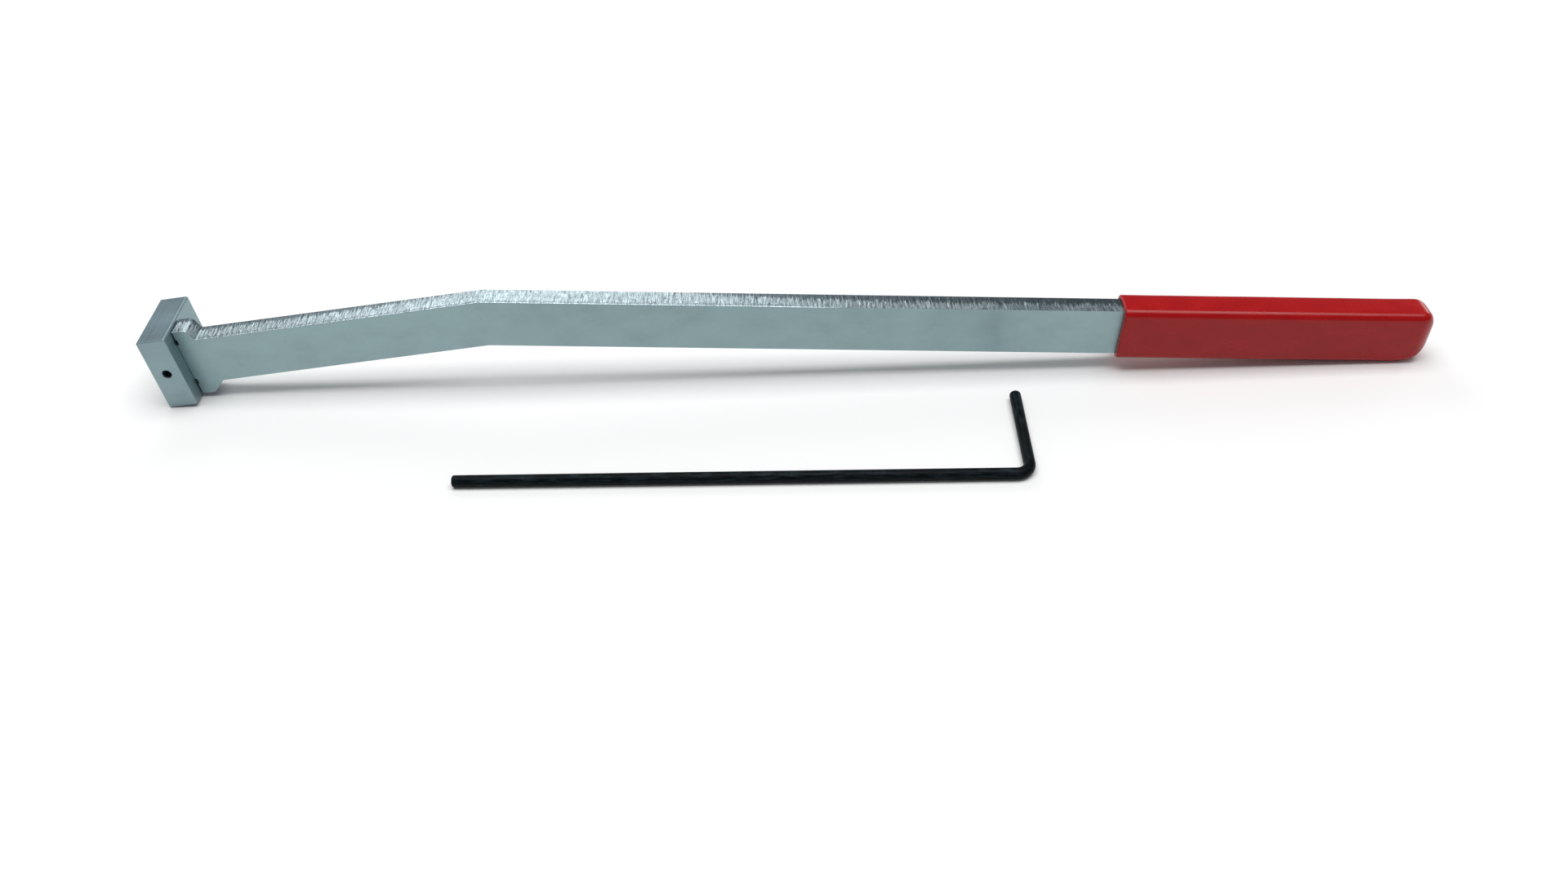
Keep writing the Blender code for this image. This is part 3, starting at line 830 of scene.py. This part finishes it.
def torch_cut_steel():
    """Profile-cut steel edge: drag lines across the thickness leave bright and dark streaks.

    Past a ragged line the far side is painted darker: painted shade where the cut turns away
    from the light. The finest drag lines, about 0.2 mm apart, are drawn 0.6 mm apart so that they show.
    """
    streak_size = (0.6, 4.5, 0.6)
    fleck_size = (0.7, 1.3, 0.7)
    patch_size = (6, 3, 6)
    material, tree, shader = new_material("profile_cut_steel_edge", Metallic=1.0)
    streaks = add_node(tree, "ShaderNodeTexNoise", {"Scale": 1.0, "Detail": 4.0, "Roughness": 0.6},
                       {"Vector": position_mm(tree, streak_size)})
    flecks = add_node(tree, "ShaderNodeTexNoise", {"Scale": 1.0, "Detail": 3.0, "Roughness": 0.6},
                      {"Vector": position_mm(tree, fleck_size)})
    patches = add_node(tree, "ShaderNodeTexNoise", {"Scale": 1.0, "Detail": 3.0},
                       {"Vector": position_mm(tree, patch_size)})
    mixed = add_node(tree, "ShaderNodeMix", {"data_type": "FLOAT", "Factor": 0.35},
                     {"A": streaks.outputs["Fac"], "B": flecks.outputs["Fac"]})
    shade = add_node(tree, "ShaderNodeMapRange", {"From Min": 0.36, "From Max": 0.64},
                     {"Value": mixed.outputs["Result"]})
    tint = add_node(tree, "ShaderNodeMix",
                    {"data_type": "RGBA", MIX_A: linear("#6E7E84"), MIX_B: linear("#C6D7DC")},
                    {"Factor": shade.outputs["Result"]})
    # From here on, the far side of the cut edge is painted darker past a ragged border: painted shade
    # where the cut turns away from the light.
    start = add_node(tree, "ShaderNodeAttribute", {"attribute_name": "painted_shade_start"})
    across = add_node(tree, "ShaderNodeAttribute", {"attribute_name": "across_plate"})
    past = add_node(tree, "ShaderNodeMath", {"operation": "SUBTRACT"},
                    {0: across.outputs["Fac"], 1: start.outputs["Fac"]})
    ragged = add_node(tree, "ShaderNodeMapRange",
                      {"From Min": NOISE_LOW, "From Max": NOISE_HIGH, "To Min": -2.4, "To Max": 2.4},
                      {"Value": streaks.outputs["Fac"]})
    edge = add_node(tree, "ShaderNodeMath", {"operation": "SUBTRACT"},
                    {0: past.outputs["Value"], 1: ragged.outputs["Result"]})
    painted_shade_share = add_node(tree, "ShaderNodeMapRange", {"From Min": -0.6, "From Max": 1.0, "To Max": 0.9},
                     {"Value": edge.outputs["Value"]})
    # This darker colour on the far side of the cut is painted shade.
    scaled = add_node(tree, "ShaderNodeMix", {"data_type": "RGBA", MIX_B: linear("#5A686F")},
                      {"Factor": painted_shade_share.outputs["Result"], MIX_A: tint.outputs[MIX_RESULT]})
    tree.links.new(scaled.outputs[MIX_RESULT], shader.inputs["Base Color"])
    matte = add_node(tree, "ShaderNodeMapRange",
                     {"From Min": NOISE_LOW, "From Max": NOISE_HIGH, "To Min": 0.26, "To Max": 0.42},
                     {"Value": patches.outputs["Fac"]})
    tree.links.new(matte.outputs["Result"], shader.inputs["Roughness"])
    bump = add_node(tree, "ShaderNodeBump", {"Strength": 1.0, "Distance": 0.22 * MM},
                    {"Height": mixed.outputs["Result"]})
    tree.links.new(bump.outputs["Normal"], shader.inputs["Normal"])
    return material


def dipped_vinyl():
    """Plastisol, dipped and cured: a deep glossy red skin with a faint ripple and cloudy gloss."""
    cloud_size = (12, 8, 7)
    ripple_size = (3.0, 2.2, 2.2)
    material, tree, shader = new_material(
        "dipped_red_vinyl", **{"IOR": 1.5, "Specular IOR Level": 0.3})
    clouds = add_node(tree, "ShaderNodeTexNoise", {"Scale": 1.0, "Detail": 3.0},
                      {"Vector": position_mm(tree, cloud_size)})
    ripple = add_node(tree, "ShaderNodeTexNoise", {"Scale": 1.0, "Detail": 2.0},
                      {"Vector": position_mm(tree, ripple_size)})
    shade = add_node(tree, "ShaderNodeMapRange", {"From Min": NOISE_LOW, "From Max": NOISE_HIGH},
                     {"Value": clouds.outputs["Fac"]})
    tint = add_node(tree, "ShaderNodeMix",
                    {"data_type": "RGBA", MIX_A: linear("#980308"), MIX_B: linear("#A3050A")},
                    {"Factor": shade.outputs["Result"]})
    tree.links.new(tint.outputs[MIX_RESULT], shader.inputs["Base Color"])
    gloss = add_node(tree, "ShaderNodeMapRange",
                     {"From Min": NOISE_LOW, "From Max": NOISE_HIGH, "To Min": 0.2, "To Max": 0.3},
                     {"Value": clouds.outputs["Fac"]})
    tree.links.new(gloss.outputs["Result"], shader.inputs["Roughness"])
    bump = add_node(tree, "ShaderNodeBump", {"Strength": 0.2, "Distance": 0.05 * MM},
                    {"Height": ripple.outputs["Fac"]})
    tree.links.new(bump.outputs["Normal"], shader.inputs["Normal"])
    return material


def black_oxide_steel():
    """Drawn steel rod, black oxide finish: near black, with faint bluish streaks along it."""
    streak_length = 9
    streaks_around = 5.0
    material, tree, shader = new_material("black_oxide_drawn_steel", **{"Specular IOR Level": 0.06})
    length = add_node(tree, "ShaderNodeAttribute", {"attribute_name": "length_along"})
    around = add_node(tree, "ShaderNodeAttribute", {"attribute_name": "turn_around"})
    drawn = add_node(tree, "ShaderNodeCombineXYZ", None,
                     {"X": length.outputs["Fac"], "Y": around.outputs["Fac"]})
    stretched = add_node(tree, "ShaderNodeMapping", {"Scale": (1 / streak_length, streaks_around, 1.0)},
                         {"Vector": drawn.outputs["Vector"]})
    streaks = add_node(tree, "ShaderNodeTexNoise", {"Scale": 1.0, "Detail": 5.0, "Roughness": 0.65},
                       {"Vector": stretched.outputs["Vector"]})
    shade = add_node(tree, "ShaderNodeMapRange", {"From Min": 0.48, "From Max": 0.78},
                     {"Value": streaks.outputs["Fac"]})
    tint = add_node(tree, "ShaderNodeMix",
                    {"data_type": "RGBA", MIX_A: linear("#060B0D"), MIX_B: linear("#2A373D")},
                    {"Factor": shade.outputs["Result"]})
    tree.links.new(tint.outputs[MIX_RESULT], shader.inputs["Base Color"])
    matte = add_node(tree, "ShaderNodeMapRange",
                     {"From Min": NOISE_LOW, "From Max": NOISE_HIGH, "To Min": 0.38, "To Max": 0.55},
                     {"Value": streaks.outputs["Fac"]})
    tree.links.new(matte.outputs["Result"], shader.inputs["Roughness"])
    return material


def hardened_spring_steel():
    """Rolled spring steel, blackened by hardening: dull and very dark, faintly mottled."""
    mottle_size = (0.4, 2.0, 0.4)
    material, tree, shader = new_material("blackened_spring_steel", Metallic=1.0, Roughness=0.5)
    mottle = add_node(tree, "ShaderNodeTexNoise", {"Scale": 1.0, "Detail": 4.0},
                      {"Vector": position_mm(tree, mottle_size)})
    tint = add_node(tree, "ShaderNodeMix",
                    {"data_type": "RGBA", MIX_A: linear("#121314"), MIX_B: linear("#2A2B2D")},
                    {"Factor": mottle.outputs["Fac"]})
    tree.links.new(tint.outputs[MIX_RESULT], shader.inputs["Base Color"])
    return material


# ---------------------------------------------------------------- studio
def make_table():
    """A plain table top in white matt laminate: even, bright and without gloss."""
    mesh_maker = bmesh.new()
    bmesh.ops.create_grid(mesh_maker, x_segments=1, y_segments=1, size=TABLE_REACH)
    table = object_from("table_top", mesh_maker)
    table.location.z = -TABLE_BELOW
    looks = {"Base Color": linear("#EFEFEF"), "Roughness": 0.9}
    table.data.materials.append(new_material("white_table", **looks)[0])


def add_softbox(name, place, target, width, height, power):
    """A rectangular softbox at a place, facing a target, in metres and watts."""
    light = bpy.data.lights.new(name, "AREA")
    light.shape = "RECTANGLE"
    light.size = width
    light.size_y = height
    light.energy = power
    lamp = bpy.data.objects.new(name, light)
    bpy.context.scene.collection.objects.link(lamp)
    lamp.location = place
    lamp.rotation_euler = (Vector(target) - Vector(place)).to_track_quat("-Z", "Y").to_euler()


def light_studio():
    """A wide overhead softbox, two small ones behind the head and the grip, and a dim even room."""
    world = bpy.data.worlds.new("studio_room")
    bpy.context.scene.world = world
    world.use_nodes = True
    background = world.node_tree.nodes["Background"]
    background.inputs["Color"].default_value = ROOM_COLOUR
    background.inputs["Strength"].default_value = ROOM_STRENGTH
    for softbox in SOFTBOXES:
        add_softbox(*softbox)


def place_camera():
    """The camera, above and in front of the lever, looking down at it."""
    camera = bpy.data.cameras.new("camera")
    camera.sensor_width = CAMERA_SENSOR
    camera.lens = CAMERA_FOCAL
    camera.shift_y = CAMERA_SHIFT
    forward = Vector((
        math.sin(CAMERA_YAW) * math.cos(CAMERA_PITCH),
        math.cos(CAMERA_YAW) * math.cos(CAMERA_PITCH),
        -math.sin(CAMERA_PITCH),
    ))
    right = Vector((math.cos(CAMERA_YAW), -math.sin(CAMERA_YAW), 0.0))
    up = right.cross(forward)
    rolled_right = math.cos(CAMERA_ROLL) * right + math.sin(CAMERA_ROLL) * up
    rolled_up = -math.sin(CAMERA_ROLL) * right + math.cos(CAMERA_ROLL) * up
    holder = bpy.data.objects.new("camera", camera)
    bpy.context.scene.collection.objects.link(holder)
    turn = Matrix((rolled_right, rolled_up, -forward)).transposed().to_4x4()
    holder.matrix_world = Matrix.Translation(CAMERA_PLACE) @ turn
    bpy.context.scene.camera = holder


# ---------------------------------------------------------------- the set
place_camera()
make_lever_plate()
make_head_block()
make_dipped_grip()
make_bent_rod()
cross_pin = frame["nodes"]["cross_pin"]
cross_pin.data.materials.clear()
cross_pin.data.materials.append(hardened_spring_steel())
make_table()
light_studio()
bpy.context.scene.view_settings.view_transform = "Standard"
